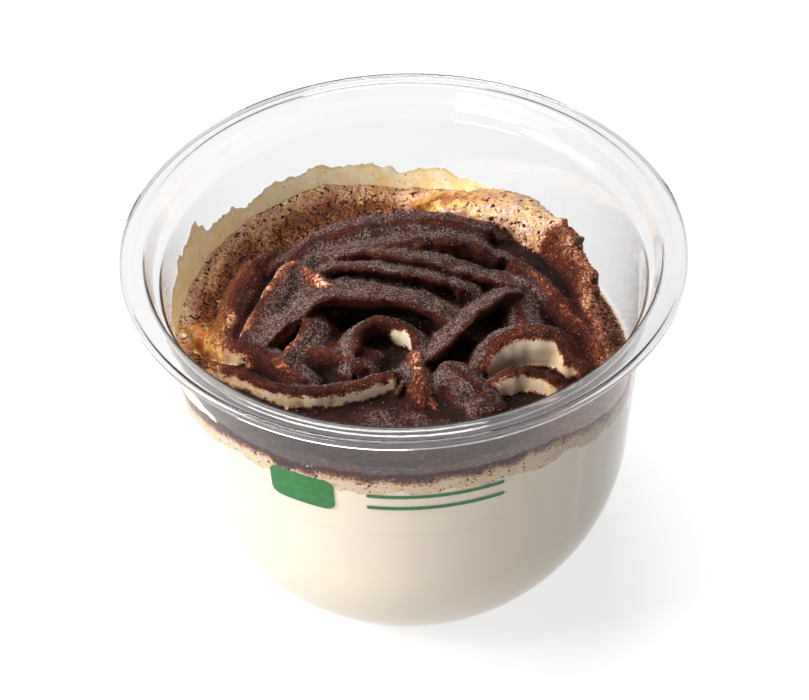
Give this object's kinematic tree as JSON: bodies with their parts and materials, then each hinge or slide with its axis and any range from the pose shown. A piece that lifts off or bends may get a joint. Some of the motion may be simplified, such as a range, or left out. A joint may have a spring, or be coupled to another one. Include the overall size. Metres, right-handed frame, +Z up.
{
  "type": "tiramisu in a tub",
  "caption": "Round clear plastic tub filled with pale cream, with a folded, spooned cream top dusted with cocoa.",
  "frame": {"origin": "under the middle of the tub, on the plane that its foot stands on", "axes": "+Z up out of the tub's mouth, -Y towards the printed front, +X to the right of it"},
  "size_m": [0.117, 0.117, 0.084],
  "materials": {
    "clear_plastic": "clear and glossy, thin-walled",
    "cream": "smooth pale cream behind the wall",
    "dusted_cream": "folded cream dusted with dark cocoa, moist red-brown on the folds and bare cream on steep faces"
  },
  "bodies": {
    "root": {"tub": "clear_plastic", "cream_fill": "cream", "cream_swirl": "dusted_cream"}
  },
  "joints": []
}
